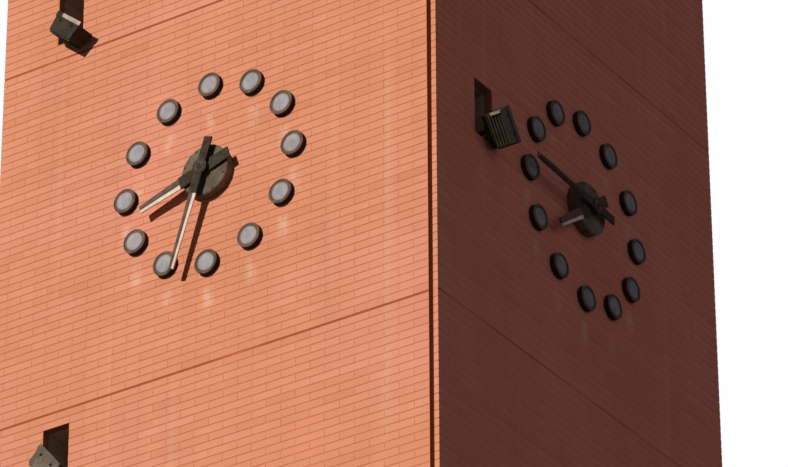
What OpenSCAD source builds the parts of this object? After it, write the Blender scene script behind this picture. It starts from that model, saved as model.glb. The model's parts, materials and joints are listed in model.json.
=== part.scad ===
// Square brick clock tower with a dial of raised round marks on each face.
// Millimetres, +Z up, origin at the centre of the foot, front face towards -Y.

/* [Tower] */
// Width of each face over the walls
tower_w = 3870; // [3500:10:4400]
// Thickness of the walls
wall_t = 360; // [320:10:450]
// Height of one storey, from one level joint to the next
storey_h = 3000; // [2900:10:3300]
// Height of the parapet above the roof
parapet_h = 500; // [300:10:900]
// Thickness of the landings between the storeys
slab_t = 100; // [60:5:100]
// Depth that a landing is let into each wall
let_in = 80; // [40:5:150]
// Thickness of the ground floor
ground_t = 150; // [100:10:250]
// Side of the square opening in each landing
hatch_w = 1000; // [700:10:1200]
// Distance from the walls to the opening in each landing
hatch_gap = 150; // [60:10:300]

/* [Joints in the brickwork] */
// Width of the strip of brickwork between an upright groove and its corner
post_w = 36; // [30:1:45]
// Width of the upright groove beside two opposite corners
groove_w = 36; // [24:1:45]
// Depth of the upright grooves
groove_d = 60; // [45:1:80]
// Height of the level joint at each storey
joint_h = 16; // [10:1:30]
// Depth of the level joint
joint_d = 20; // [10:1:40]

/* [Stair slots] */
// Width of a slot
slot_w = 232; // [180:4:300]
// Height of a slot
slot_h = 450; // [380:5:460]
// Distance from the edge of the tower to a slot
slot_edge = 498; // [480:1:640]
// Rise from one slot to the next on the same face
slot_pitch = 3710; // [3680:5:3740]
// Height of the side slot beside the clock, over the clock's centre
slot_rise = 184; // [180:1:195]
// Drop of the front and back slots below evenly spaced heights about the clock's centre
slot_drop = 31; // [10:1:50]

/* [Coping] */
// Thickness of the coping at its outer edge
coping_t = 80; // [60:5:150]
// Fall of the coping's top towards the roof
coping_fall = 18; // [8:1:30]
// Overhang of the coping
coping_lip = 35; // [30:1:80]
// Width of the drip groove under each overhang
drip_w = 12; // [8:1:14]
// Depth of the drip grooves
drip_d = 8; // [5:1:12]

/* [Service door] */
// Width of the doorway
door_w = 900; // [800:10:1100]
// Height of the doorway above the ground floor
door_h = 2100; // [1950:10:2250]
// Face width of the door frame
frame_w = 50; // [30:1:80]
// Depth of the door frame
frame_d = 90; // [60:5:150]
// Thickness of the door leaf
leaf_t = 45; // [35:1:55]
// Width of the stop that the leaf shuts against
stop_w = 15; // [10:1:24]
// Gap round the door leaf
door_gap = 3; // [2:0.5:5]
// Distance from the outside of the wall to the door frame
door_set = 120; // [60:5:180]
// Height of the door handle above the ground floor
handle_h = 1050; // [950:10:1150]
// Length of the lever handle
handle_l = 125; // [100:5:150]
// Diameter of the lever
lever_d = 22; // [18:1:26]
// Length of the lever on the far side of its spindle
lever_past = 16; // [12:1:20]
// Reach of the spindle out of the leaf, to the middle of the lever
spindle_l = 50; // [40:1:60]
// Diameter of the spindle
spindle_d = 20; // [14:1:20]
// Diameter of the round plate behind the handle
rose_d = 52; // [44:1:60]
// Thickness of the round plate
rose_t = 9; // [6:1:12]
// Distance from the edge of the leaf to the spindle
backset = 60; // [45:5:80]

/* [Clock] */
// Height of the clock's centre above the level joint below it
clock_rise = 1540; // [1400:5:1650]
// Radius of the ring of hour marks
ring_r = 738; // [640:2:800]
// Diameter of an hour mark
mark_d = 194; // [160:1:240]
// Height that an hour mark stands out from the wall
mark_t = 48; // [30:1:56]
// Width of the rim round the sunk face of an hour mark
mark_rim = 13; // [8:1:24]
// Depth of the sunk face behind the rim
mark_sink = 20; // [8:1:26]
// Bevel on the outer edge of an hour mark
mark_bevel = 4; // [2:0.5:6]
// Diameter of the hub plate behind the hands
hub_d = 408; // [380:2:460]
// Thickness of the hub plate
hub_t = 80; // [70:1:81]
// Bevel round the front of the hub plate
hub_bevel = 7; // [3:1:12]
// Diameter of the bearing boss on the hub plate
boss_d = 120; // [90:1:160]
// Height of the bearing boss over the hub plate
boss_t = 4; // [2:1:4]

/* [Hands] */
// Stand-off of the hour hand's front from the wall
hour_front = 113; // [112:0.5:115]
// Length of the hour hand from the axis
hour_len = 572; // [450:2:600]
// Width of the hour hand's blade at its root
hour_root = 94; // [80:1:110]
// Width of the hour hand's blade at its tip
hour_tip = 60; // [40:1:75]
// Width of the end of the hour hand's tail
hour_tail_w = 88; // [60:1:110]
// Stand-off of the minute hand's front from the wall
minute_front = 146; // [144:1:160]
// Length of the minute hand from the axis
minute_len = 804; // [700:2:840]
// Width of the minute hand's blade at its root
minute_root = 64; // [55:1:80]
// Width of the minute hand's blade at its tip
minute_tip = 44; // [30:1:54]
// Width of the end of the minute hand's tail
minute_tail_w = 68; // [50:1:90]
// Length of the tail of each hand
tail_len = 238; // [180:2:280]
// Distance from the axis to the end of the carrier that holds a blade
carrier_len = 212; // [180:2:260]
// Thickness of a carrier
carrier_t = 14; // [12:1:16]
// Width of a carrier past each side of its blade
carrier_side = 3; // [2:0.5:5]
// Length of a blade that is held in its carrier
blade_lap = 24; // [15:1:40]
// Distance that a blade's back is set in from the back of its carrier
blade_set = 2; // [1:0.5:3]
// Thickness of a blade at its edges
blade_edge = 10; // [6:1:11]
// Height of the ridge along the middle of a blade
blade_ridge = 12; // [8:1:13]
// Diameter of the boss of each hand
hand_boss_d = 120; // [112:1:150]
// Thickness of the boss of each hand
hand_boss_t = 18; // [17:1:20]
// Outer diameter of the pipe that carries the hour hand
pipe_d = 40; // [36:1:50]
// Diameter of the arbor that carries the minute hand
arbor_d = 24; // [20:1:30]
// Running clearance round the pipe and round the arbor
running = 0.06; // [0.03:0.01:0.1]
// Clear space round the pipe where it passes through the wall
pipe_room = 10; // [6:1:20]
// Length of pipe in front of the hour hand
pipe_past = 3; // [1:0.5:4]
// Length of pipe and arbor past the inside of the wall
shaft_out = 40; // [20:1:80]
// Diameter of the nut in front of the minute hand
nut_d = 44; // [34:1:60]
// Thickness of the nut
nut_t = 12; // [8:1:20]

/* [Floodlights] */
// Length of a lamp housing, straight out from the wall
lamp_l = 154; // [140:2:190]
// Distance from the wall to a lamp housing
lamp_off = 36; // [30:2:60]
// Depth of a lamp housing along its beam
lamp_d = 114; // [100:2:130]
// Height of a lamp housing at its front frame
lamp_h = 268; // [240:2:300]
// Height of a lamp housing at its back
lamp_back = 244; // [220:2:260]
// Depth of the front frame round the lamp glass
lens_frame_t = 16; // [10:1:25]
// Height that the front frame stands over the housing
lens_frame_lip = 6; // [3:1:10]
// Width of the front frame beside the lamp glass
lens_frame_w = 16; // [10:1:24]
// Depth of the lamp glass behind the front of its frame
lamp_sink = 8; // [4:1:9]
// Reach of the visor past the front frame
visor_l = 26; // [15:1:40]
// Thickness of the visor
visor_t = 4; // [3:0.5:6]
// Height of the cooling fins
fin_h = 14; // [8:1:20]
// Thickness of a cooling fin
fin_t = 5; // [3:1:8]
// Spacing of the cooling fins
fin_pitch = 24; // [20:1:40]
// Diameter of the arm that carries a lamp
arm_d = 34; // [28:1:40]
// Height of the arm over the foot of its slot
arm_rise = 45; // [40:1:70]
// Length of the arm inside the slot
arm_in = 190; // [170:5:240]
// Length of the arm past the inner end of its sill plate
arm_tail = 12; // [5:1:20]
// Width of the sill plate under the arm
sill_plate_w = 120; // [90:5:150]
// Length of the sill plate
sill_plate_l = 140; // [100:5:145]
// Thickness of the sill plate
sill_plate_t = 10; // [6:1:14]
// Thickness of the web between the sill plate and the arm
arm_web_t = 12; // [8:1:20]
// Width of the flange between the arm and a lamp, along the beam
flange_w = 66; // [60:1:76]
// Height of the flange
flange_h = 84; // [60:1:90]
// Thickness of the flange
flange_t = 10; // [8:1:16]

/* [Hidden] */
$fn = 64;

brick = [0.80, 0.47, 0.34];
concrete = [0.66, 0.64, 0.60];
zinc = [0.55, 0.53, 0.50];
bronze = [0.40, 0.36, 0.31];
steel = [0.30, 0.30, 0.29];

storeys = 8;
lift_storeys = [0, 3, 6, 8];
clock_storey = 6;
half_w = tower_w / 2;
room_w = tower_w - 2 * wall_t;
wall_top = storeys * storey_h + parapet_h;
clock_z = clock_storey * storey_h + clock_rise;
pipe_hole_d = pipe_d + 2 * pipe_room;
shaft_end = wall_t + shaft_out;
blade_t = blade_edge + blade_ridge;
overlap = 1;

// Clock-face angle of each hand, in degrees past twelve, for each face in turn
minute_angle = [197.2, 273, 60, 150];
hour_angle = [253, 233, 305, 162.5];

// Slot heights, over the foot of the tower, on the front and back and on the sides
front_slots = [for (k = [-4:0]) clock_z - slot_drop + (k + 0.5) * slot_pitch];
side_slots = [for (k = [-4:1]) clock_z + slot_rise + k * slot_pitch];
slot_x = slot_edge + slot_w / 2 - half_w;

// For each lamp: its slot's height, the rise of its beam in degrees, and how far the middle of
// its housing lies from its arm, along the beam and across it
front_lamps = [[front_slots[3], 40, 42, -9], [front_slots[4], 50, 14, -91]];
side_lamps = [[side_slots[4], 35, 42, -9]];

// Turns what is drawn for the front face round to another face
module on_face(turns) {
    rotate([0, 0, 90 * turns]) children();
}

// Puts what is drawn lying flat, with +Z outwards, on the front wall at the clock's centre
module on_dial(stand_off = 0) {
    translate([0, -half_w - stand_off, clock_z]) rotate([90, 0, 0]) children();
}

// Level recess across the front of a wall
module level_joint(width, z) {
    translate([-width / 2, -half_w - overlap, z - joint_h / 2])
        cube([width, joint_d + overlap, joint_h]);
}

module stair_slot(z) {
    translate([slot_x - slot_w / 2, -half_w - overlap, z - slot_h / 2])
        cube([slot_w, wall_t + 2 * overlap, slot_h]);
}

// Pocket in the inner face of a wall for the edge of a landing
module landing_pocket(top) {
    translate([-room_w / 2 - overlap, -half_w + wall_t - let_in, top - slab_t])
        cube([room_w + 2 * overlap, let_in + overlap, slab_t]);
}

// One lift of wall between two corner piers
module wall(lift, slots) {
    low = lift_storeys[lift] * storey_h;
    high = lift == 2 ? wall_top : lift_storeys[lift + 1] * storey_h;
    color(brick) difference() {
        translate([-room_w / 2, -half_w, low]) cube([room_w, wall_t, high - low]);
        for (j = [lift_storeys[lift]:lift_storeys[lift + 1]])
            if (j > 0) {
                level_joint(room_w + 2 * overlap, j * storey_h);
                landing_pocket(j * storey_h);
            }
        for (z = slots)
            if (z > low && z < high) stair_slot(z);
        if (lift == 2) on_dial(-wall_t - overlap) cylinder(d = pipe_hole_d, h = wall_t + 2 * overlap);
    }
}

module doorway() {
    translate([-door_w / 2, -half_w - overlap, ground_t]) cube([door_w, wall_t + 2 * overlap, door_h]);
}

module back_wall_low() {
    difference() {
        wall(0, front_slots);
        color(brick) doorway();
    }
}

// Corner pier with the level joints running round it, and an upright groove on one side or none
module pier(grooved) {
    color(brick) difference() {
        translate([half_w - wall_t, -half_w, 0]) cube([wall_t, wall_t, wall_top]);
        if (grooved) translate([half_w - post_w - groove_w, -half_w - overlap, -overlap])
            cube([groove_w, groove_d + overlap, wall_top + 2 * overlap]);
        for (j = [1:storeys]) {
            translate([half_w - wall_t - overlap, -half_w - overlap, j * storey_h - joint_h / 2])
                cube([wall_t + 2 * overlap, joint_d + overlap, joint_h]);
            translate([half_w - joint_d, -half_w - overlap, j * storey_h - joint_h / 2])
                cube([joint_d + overlap, wall_t + 2 * overlap, joint_h]);
        }
    }
}

// One landing with its edges let into the walls
module landing(top, thick, inset) {
    translate([0, 0, top - thick]) linear_extrude(thick) {
        square([room_w, room_w + 2 * inset], center = true);
        square([room_w + 2 * inset, room_w], center = true);
    }
}

module floor_slabs() {
    hatch_far = room_w / 2 - hatch_gap;
    color(concrete) {
        landing(ground_t, ground_t, 0);
        for (j = [1:storeys - 1]) difference() {
            landing(j * storey_h, slab_t, let_in);
            translate([-hatch_far, hatch_far - hatch_w, j * storey_h - slab_t - overlap])
                cube([hatch_w, hatch_w, slab_t + 2 * overlap]);
        }
    }
}

module roof_slab() {
    color(concrete) landing(storeys * storey_h, slab_t, let_in);
}

// One side of the coping, mitred at both ends: its top falls towards the roof, and a groove
// under each overhang lets the rain drip clear of the brickwork
module coping_side() {
    outer = half_w + coping_lip;
    inner = room_w / 2 - coping_lip;
    drip_x = (coping_lip - drip_w) / 2;
    intersection() {
        translate([-outer, 0, 0]) rotate([90, 0, 90]) linear_extrude(2 * outer) difference() {
            polygon([[-outer, 0], [-inner, 0], [-inner, coping_t - coping_fall], [-outer, coping_t]]);
            for (x = [-outer + drip_x, -inner - drip_x - drip_w])
                translate([x, -overlap]) square([drip_w, drip_d + overlap]);
        }
        translate([0, 0, -overlap]) linear_extrude(coping_t + 2 * overlap)
            polygon([[0, 0], [-outer - overlap, -outer - overlap], [outer + overlap, -outer - overlap]]);
    }
}

module coping() {
    color(concrete) translate([0, 0, wall_top]) for (turns = [0:3]) on_face(turns) coping_side();
}

// Clear outline of the doorway, drawn in from its sides and head
module door_outline(inset, height = 0) {
    translate([-door_w / 2 + inset, height]) square([door_w - 2 * inset, door_h - inset - height]);
}

// Frame of the service door, with a stop for the leaf on its inner side
module door_frame() {
    color(steel) translate([0, -half_w + door_set + frame_d, ground_t]) rotate([90, 0, 0]) difference() {
        linear_extrude(frame_d) difference() {
            door_outline(0);
            translate([0, -overlap]) door_outline(frame_w);
        }
        translate([0, -overlap, frame_d - leaf_t]) linear_extrude(leaf_t + overlap) door_outline(frame_w - stop_w);
    }
}

// Lever handle on its round plate
module door_handle() {
    cylinder(d = rose_d, h = rose_t);
    cylinder(d = spindle_d, h = spindle_l);
    translate([-lever_past, 0, spindle_l]) rotate([0, 90, 0]) cylinder(d = lever_d, h = handle_l + lever_past);
}

module door_leaf() {
    leaf_inset = frame_w - stop_w + door_gap;
    color(steel) translate([0, -half_w + door_set + leaf_t, ground_t]) rotate([90, 0, 0]) {
        linear_extrude(leaf_t) door_outline(leaf_inset, door_gap);
        translate([leaf_inset + backset - door_w / 2, handle_h, leaf_t]) door_handle();
    }
}

// Round drum with a bevelled edge and a face sunk behind its rim
module hour_mark() {
    rotate_extrude() polygon([
        [0, 0], [mark_d / 2, 0], [mark_d / 2, mark_t - mark_bevel], [mark_d / 2 - mark_bevel, mark_t],
        [mark_d / 2 - mark_rim, mark_t], [mark_d / 2 - mark_rim, mark_t - mark_sink], [0, mark_t - mark_sink]
    ]);
}

module hour_marks() {
    color(zinc) on_dial() for (hour = [1:12])
        rotate([0, 0, -30 * hour]) translate([0, ring_r, 0]) hour_mark();
}

module hub_plate() {
    color(bronze) on_dial() difference() {
        union() {
            cylinder(d = hub_d, h = hub_t - hub_bevel);
            translate([0, 0, hub_t - hub_bevel]) cylinder(d1 = hub_d, d2 = hub_d - 2 * hub_bevel, h = hub_bevel);
            cylinder(d = boss_d, h = hub_t + boss_t);
        }
        translate([0, 0, -overlap]) cylinder(d = pipe_d + 2 * running, h = hub_t + boss_t + 2 * overlap);
    }
}

// Flat carrier of a hand, lying on the XY plane and pointing to +Y, with its tail behind the axis
module carrier(root, tail_w) {
    side = root / 2 + carrier_side;
    linear_extrude(carrier_t) polygon([
        [-tail_w / 2, -tail_len], [tail_w / 2, -tail_len], [side, 0],
        [side, carrier_len], [-side, carrier_len], [-side, 0]
    ]);
    cylinder(d = hand_boss_d, h = hand_boss_t);
}

// Tapering blade let into its carrier: the outline of the bar, planed to a ridge along its middle
module blade(length, root, tip) {
    start = carrier_len - blade_lap;
    reach = root / 2 + overlap;
    shoulder = blade_t - blade_ridge * reach / (root / 2);
    intersection() {
        translate([0, 0, blade_set]) linear_extrude(blade_t) polygon([
            [-root / 2, start], [root / 2, start], [tip / 2, length], [-tip / 2, length]
        ]);
        translate([0, length + overlap, 0]) rotate([90, 0, 0])
            linear_extrude(length - start + 2 * overlap) polygon([
                [-reach, -overlap], [reach, -overlap], [reach, shoulder], [0, blade_t], [-reach, shoulder]
            ]);
    }
}

// Round bar along the axis, from the inside of the wall out to a stand-off, on its hand's back
module shaft(d, start, end) {
    translate([0, 0, start]) cylinder(d = d, h = end - start);
}

module hour_hand(face) {
    back = blade_t - hour_front;
    color(bronze) on_dial(-back) difference() {
        union() {
            rotate([0, 0, -hour_angle[face]]) {
                carrier(hour_root, hour_tail_w);
                blade(hour_len, hour_root, hour_tip);
            }
            shaft(pipe_d, back - shaft_end, blade_t + pipe_past);
        }
        shaft(arbor_d + 2 * running, back - shaft_end - overlap, blade_t + pipe_past + overlap);
    }
}

module minute_hand(face) {
    back = blade_t - minute_front;
    color(bronze) on_dial(-back) {
        rotate([0, 0, -minute_angle[face]]) {
            carrier(minute_root, minute_tail_w);
            blade(minute_len, minute_root, minute_tip);
        }
        shaft(arbor_d, back - shaft_end - shaft_out, blade_t);
        cylinder(d = nut_d, h = blade_t + nut_t);
    }
}

// Places a lamp at its slot: +X is its beam, +Z is straight out from the wall, along its arm
module at_slot(lamp) {
    translate([slot_x, -half_w, lamp[0] - slot_h / 2 + arm_rise]) rotate([90, 0, 0]) rotate([0, 0, lamp[1]]) children();
}

lamp_back_x = -(lamp_d + lens_frame_t) / 2;
lamp_front_x = lamp_back_x + lamp_d;
fin_count = floor((lamp_l - fin_pitch - fin_t) / fin_pitch) + 1;

// End view of a lamp housing, from its back to its front frame
module housing_outline(grow = 0) {
    polygon([
        [lamp_back_x - grow, -lamp_back / 2], [lamp_front_x, -lamp_h / 2],
        [lamp_front_x, lamp_h / 2], [lamp_back_x - grow, lamp_back / 2]
    ]);
}

// Front frame of a lamp, with its glass sunk behind it and a visor along its outer edge
module lens_frame() {
    frame_h = lamp_h + 2 * lens_frame_lip;
    frame_end = lamp_front_x + lens_frame_t;
    difference() {
        translate([lamp_front_x, -frame_h / 2, -lens_frame_lip]) cube([lens_frame_t, frame_h, lamp_l + 2 * lens_frame_lip]);
        translate([frame_end - lamp_sink, lens_frame_w - frame_h / 2, lens_frame_w - lens_frame_lip])
            cube([lamp_sink + overlap, frame_h - 2 * lens_frame_w, lamp_l + 2 * lens_frame_lip - 2 * lens_frame_w]);
    }
    translate([frame_end - overlap, -frame_h / 2, lamp_l + lens_frame_lip - visor_t])
        cube([visor_l + overlap, frame_h, visor_t]);
}

module floodlight() {
    linear_extrude(lamp_l) housing_outline();
    for (k = [0:fin_count - 1])
        translate([0, 0, (lamp_l - fin_t - (fin_count - 1) * fin_pitch) / 2 + k * fin_pitch])
            linear_extrude(fin_t) housing_outline(fin_h);
    lens_frame();
}

// Arm out of a slot on its sill plate, ending in the flange that the lamp housing is bolted to
module lamp_arm(lamp) {
    cylinder_end = lamp_off - flange_t;
    translate([0, 0, -arm_in]) cylinder(d = arm_d, h = arm_in + cylinder_end + overlap);
    translate([-arm_d / 2 - overlap, -flange_h / 2, cylinder_end]) cube([flange_w, flange_h, flange_t]);
    rotate([0, 0, -lamp[1]]) translate([0, -arm_rise, arm_tail - arm_in]) {
        translate([-sill_plate_w / 2, 0, 0]) cube([sill_plate_w, sill_plate_t, sill_plate_l]);
        translate([-arm_web_t / 2, sill_plate_t - overlap, 0])
            cube([arm_web_t, arm_rise - sill_plate_t + overlap, sill_plate_l]);
    }
}

module floodlights(lamps) {
    color(steel) for (lamp = lamps) at_slot(lamp) translate([lamp[2], lamp[3], lamp_off]) floodlight();
}

module lamp_arms(lamps) {
    color(steel) for (lamp = lamps) at_slot(lamp) lamp_arm(lamp);
}

floor_slabs();
roof_slab();
coping();
on_face(2) door_frame();
on_face(2) door_leaf();
pier(true);  // front_right_pier
on_face(1) pier(false);  // back_right_pier
on_face(2) pier(true);  // back_left_pier
on_face(3) pier(false);  // front_left_pier
wall(0, front_slots);  // front_wall_low
on_face(1) wall(0, side_slots);  // right_wall_low
on_face(2) back_wall_low();
on_face(3) wall(0, side_slots);  // left_wall_low
wall(1, front_slots);  // front_wall_mid
on_face(1) wall(1, side_slots);  // right_wall_mid
on_face(2) wall(1, front_slots);  // back_wall_mid
on_face(3) wall(1, side_slots);  // left_wall_mid
wall(2, front_slots);  // front_wall_top
on_face(1) wall(2, side_slots);  // right_wall_top
on_face(2) wall(2, front_slots);  // back_wall_top
on_face(3) wall(2, side_slots);  // left_wall_top
hub_plate();  // front_hub_plate
on_face(1) hub_plate();  // right_hub_plate
on_face(2) hub_plate();  // back_hub_plate
on_face(3) hub_plate();  // left_hub_plate
hour_marks();  // front_hour_marks
on_face(1) hour_marks();  // right_hour_marks
on_face(2) hour_marks();  // back_hour_marks
on_face(3) hour_marks();  // left_hour_marks
hour_hand(0);  // front_hour_hand
on_face(1) hour_hand(1);  // right_hour_hand
on_face(2) hour_hand(2);  // back_hour_hand
on_face(3) hour_hand(3);  // left_hour_hand
minute_hand(0);  // front_minute_hand
on_face(1) minute_hand(1);  // right_minute_hand
on_face(2) minute_hand(2);  // back_minute_hand
on_face(3) minute_hand(3);  // left_minute_hand
floodlights(front_lamps);  // front_floodlights
on_face(1) floodlights(side_lamps);  // right_floodlights
on_face(2) floodlights(front_lamps);  // back_floodlights
on_face(3) floodlights(side_lamps);  // left_floodlights
lamp_arms(front_lamps);  // front_lamp_arms
on_face(1) lamp_arms(side_lamps);  // right_lamp_arms
on_face(2) lamp_arms(front_lamps);  // back_lamp_arms
on_face(3) lamp_arms(side_lamps);  // left_lamp_arms
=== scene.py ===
import bpy
import bmesh
import json
import math
import numpy as np
from mathutils import Matrix, Vector


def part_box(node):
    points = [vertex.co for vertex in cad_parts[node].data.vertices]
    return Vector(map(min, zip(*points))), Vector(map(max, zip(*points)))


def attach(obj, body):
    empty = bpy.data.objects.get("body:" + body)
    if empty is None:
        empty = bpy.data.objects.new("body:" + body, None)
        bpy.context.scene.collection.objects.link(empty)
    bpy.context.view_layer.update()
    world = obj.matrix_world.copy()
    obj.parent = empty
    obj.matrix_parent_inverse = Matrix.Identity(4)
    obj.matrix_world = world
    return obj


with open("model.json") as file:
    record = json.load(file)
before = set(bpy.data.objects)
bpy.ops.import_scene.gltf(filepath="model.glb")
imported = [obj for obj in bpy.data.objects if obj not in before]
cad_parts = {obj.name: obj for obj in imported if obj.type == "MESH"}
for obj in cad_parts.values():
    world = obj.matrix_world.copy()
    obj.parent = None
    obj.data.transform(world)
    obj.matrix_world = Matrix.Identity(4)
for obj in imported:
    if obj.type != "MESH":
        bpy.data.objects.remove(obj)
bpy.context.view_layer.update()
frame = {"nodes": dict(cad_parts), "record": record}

# The photograph was taken from the ground, well back, with a long lens. Lengths are in metres and
# angles in degrees, the lens and the sensor in millimetres.
CAMERA_PLACE = (17.10, -25.35, 2.355)
CAMERA_TURN = 33.54
CAMERA_RISE = 29.95
CAMERA_ROLL = -0.218
CAMERA_REACH = 5000
CAMERA_LENS = 214.15
SENSOR_WIDTH = 36.0

# Each sun's name, the way towards it, its strength, how wide it looks, and its colour.
SUNS = (("sun", (-0.12, -1, 0.32), 3.20, 0.8, (1, 1, 1)),
        ("rear_fill", (-0.6, 0.8, 0.5), 1.1, 20, (1, 1, 1)),
        ("side_fill", (1, 0.15, 0.25), 0.39, 60, (0.80, 0.60, 1.0)))

# The sky and the floor are bright to the camera and throw only a little light on the tower.
SKY_LIGHT = 0.025
FLOOR_SIZE = 6000
FLOOR_LIT = (0.05, 0.05, 0.05, 1)
FLOOR_SEEN = (0.85, 0.85, 0.85, 1)

# The front wall's outer plane and the clock's centre come from the solids.
FACES = ("front", "right", "back", "left")
hub_low, hub_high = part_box("front_hub_plate")
WALL_PLANE = hub_high.y
TOWER_HALF = -WALL_PLANE
CLOCK_HEIGHT = (hub_low.z + hub_high.z) / 2
WALL_THICKNESS = 0.36
STOREY = 3.0
STOREYS = 8
LIFT_STOREYS = 3

# Facing bricks: 48 thin courses to a storey, and a wider gap at each level joint.
BED_JOINT = 0.010
HEAD_JOINT = 0.001
LEVEL_GAP = 0.018
COURSES = 48
BRICK_HEIGHT = (STOREY - LEVEL_GAP - (COURSES - 1) * BED_JOINT) / COURSES
COURSE_STEP = BRICK_HEIGHT + BED_JOINT
TWO_COURSES = (0, 0, 2 * COURSE_STEP)
HALF_BRICK = 0.1225
BRICK_PROUD = 0.003
BRICK_SUNK = 0.003
BRICK_TAPER = 0.001
STRIP_WIDTH = 0.036
GROOVE_WIDTH = 0.036
GROOVE_DEPTH = 0.060
PARAPET_COURSES = 8
COPING_STONE = 0.985

# Behind the wall's plane, mortar shows as far as RECESS_FROM, and the pale inner brickwork, whose
# paleness is painted light, begins at INSIDE_FROM.
RECESS_FROM = 0.002
INSIDE_FROM = GROOVE_DEPTH + 0.004

# A brick's tone is drawn partly by its course and partly by its own number. A course's bricks are
# numbered from a multiple of NUMBERS_A_COURSE.
TONES = 20000
COURSE_SHARE = 0.5
NUMBERS_A_COURSE = 40
FACING_SEED = 11
STRIP_SEED = 31
LINING_SEED = 51

# The front and back panels end at an upright groove on their right, the side panels at the corners.
PANEL_ENDS = ((-TOWER_HALF - BRICK_PROUD, TOWER_HALF - STRIP_WIDTH - GROOVE_WIDTH),
              (-TOWER_HALF + BRICK_SUNK, TOWER_HALF - BRICK_SUNK))

# Stair slots: the same place on every face, at two sets of heights.
SLOT_ACROSS = -1.321
SLOT_WIDTH = 0.232
SLOT_HEIGHT = 0.450
SLOT_PITCH = 3.710
FRONT_SLOTS = [CLOCK_HEIGHT - 0.031 + (k + 0.5) * SLOT_PITCH for k in range(-4, 1)]
SIDE_SLOTS = [CLOCK_HEIGHT + 0.184 + k * SLOT_PITCH for k in range(-4, 2)]

# Service door in the back: its leaf stands DOOR_SET behind the wall's plane.
DOOR_HALF = 0.45
DOOR_FOOT = 0.15
DOOR_HEAD = 2.25
DOOR_SET = 0.120
LINTEL_HALF = 0.60
LINTEL_HEIGHT = 0.11

# A cutter reaches CUT_REACH to both sides of the wall's plane, and CUT_GAP past an opening's edges.
CUT_REACH = 0.05
CUT_GAP = 0.001

# Clock: the ring of the marks, how far the fronts of the parts stand off the wall, the faces' size,
# and each hand's angle from twelve on the front, right, back and left face.
MARK_RING = 0.738
MARK_FRONT = 0.048
MARK_SUNK_FACE = 0.028
FACE_RADIUS = 0.0832
HUB_FRONT = 0.080
CARRIER_FRONT = {"minute": 0.138, "hour": 0.105}
BOSS_FRONT = {"minute": 0.142, "hour": 0.109}
HAND_ANGLES = {"minute": (197.2, 273.0, 60.0, 150.0), "hour": (253.0, 233.0, 305.0, 162.5)}
# The right minute hand lies in painted shade: its blade is darker on both sides and gets no painted
# highlight.
HAND_IN_PAINTED_SHADE = "right_minute_hand"

# Each hand's blade: its width at the root and at the tip, and the reach of its tip from the axis.
# It begins BLADE_START from the axis, and its pale side, a painted highlight, lies beyond RIDGE_SHARE
# of its half width.
BLADES = {"hour": (0.094, 0.060, 0.572), "minute": (0.064, 0.044, 0.804)}
BLADE_START = 0.2115
RIDGE_SHARE = 0.38

# Screws sit SEAT deep in the sheet. A carrier has pairs of them beside its middle, and two in its tail.
SEAT = 0.0004
RIM_SCREW_RING = 0.0905
CARRIER_SCREWS = (0.092, 0.140, 0.196)
TAIL_SCREWS = (-0.110, -0.205)
SCREW_SPREAD = {"minute": 0.019, "hour": 0.032}

# Hub bolts: their number, the radius of their ring and of a head, the foot's distance off the wall,
# and the head's height.
HUB_BOLTS = ((6, 0.076, 0.0062, HUB_FRONT + 0.0025, 0.003), (8, 0.184, 0.0085, HUB_FRONT, 0.005))

# Floodlights, each drawn about the middle of its housing: the arm's height over the slot's foot, and
# the frame, housing and visor. Then for each lamp its slot, the rise of its beam, and the middle of
# its housing beside its arm, along the beam and across it.
ARM_RISE = 0.045
LAMP_FRONT = 0.065
LAMP_HALF = 0.140
LAMP_START = 0.030
LAMP_END = 0.196
HOUSING_END = 0.190
VISOR_REACH = 0.026
VISOR_SKIN = 0.0006
FRONT_LAMPS = ((FRONT_SLOTS[3], 40, 0.042, -0.009), (FRONT_SLOTS[4], 50, 0.014, -0.091))
SIDE_LAMPS = ((SIDE_SLOTS[4], 35, 0.042, -0.009),)


def clear_selection():
    if bpy.context.object and bpy.context.object.mode != "OBJECT":
        bpy.ops.object.mode_set(mode="OBJECT")
    bpy.ops.object.select_all(action="DESELECT")


def select_only(piece):
    clear_selection()
    piece.select_set(True)
    bpy.context.view_layer.objects.active = piece


def settle(piece):
    """Puts the piece's place, turn and size into its mesh."""
    select_only(piece)
    bpy.ops.object.transform_apply(location=True, rotation=True, scale=True)
    return piece


def edit_faces(piece, wanted):
    """Opens the piece for editing with the wanted faces selected."""
    select_only(piece)
    bpy.ops.object.mode_set(mode="EDIT")
    bpy.ops.mesh.select_mode(type="FACE")
    bpy.ops.mesh.select_all(action="DESELECT")
    shape = bmesh.from_edit_mesh(piece.data)
    for face in shape.faces:
        face.select_set(wanted(face))
    bmesh.update_edit_mesh(piece.data)


def close_edit():
    bpy.ops.object.mode_set(mode="OBJECT")


def out_of_wall(face):
    return face.normal.y < -0.9


def along_beam(face):
    return face.normal.x > 0.9


def inset_faces(piece, wanted, *steps):
    """Draws the wanted faces in, once for each pair of a width and a rise."""
    edit_faces(piece, wanted)
    for width, rise in steps:
        bpy.ops.mesh.inset(thickness=width, depth=rise)
    close_edit()
    return piece


def extrude_faces(piece, wanted, way):
    edit_faces(piece, wanted)
    bpy.ops.mesh.extrude_region_move(TRANSFORM_OT_translate={"value": way})
    close_edit()
    return piece


def copy_of(piece, name):
    twin = piece.copy()
    twin.data = piece.data.copy()
    twin.name = name
    bpy.context.scene.collection.objects.link(twin)
    return twin


def joined(pieces, name):
    clear_selection()
    for piece in pieces:
        piece.select_set(True)
    bpy.context.view_layer.objects.active = pieces[0]
    if len(pieces) > 1:
        bpy.ops.object.join()
    pieces[0].name = name
    return pieces[0]


def raised(piece, storeys):
    piece.location.z += storeys * STOREY
    return settle(piece)


def turned_to_face(piece, turns):
    """Turns a piece drawn on the front face round the tower's axis to another face."""
    piece.rotation_euler = (0, 0, math.radians(90 * turns))
    return settle(piece)


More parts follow.
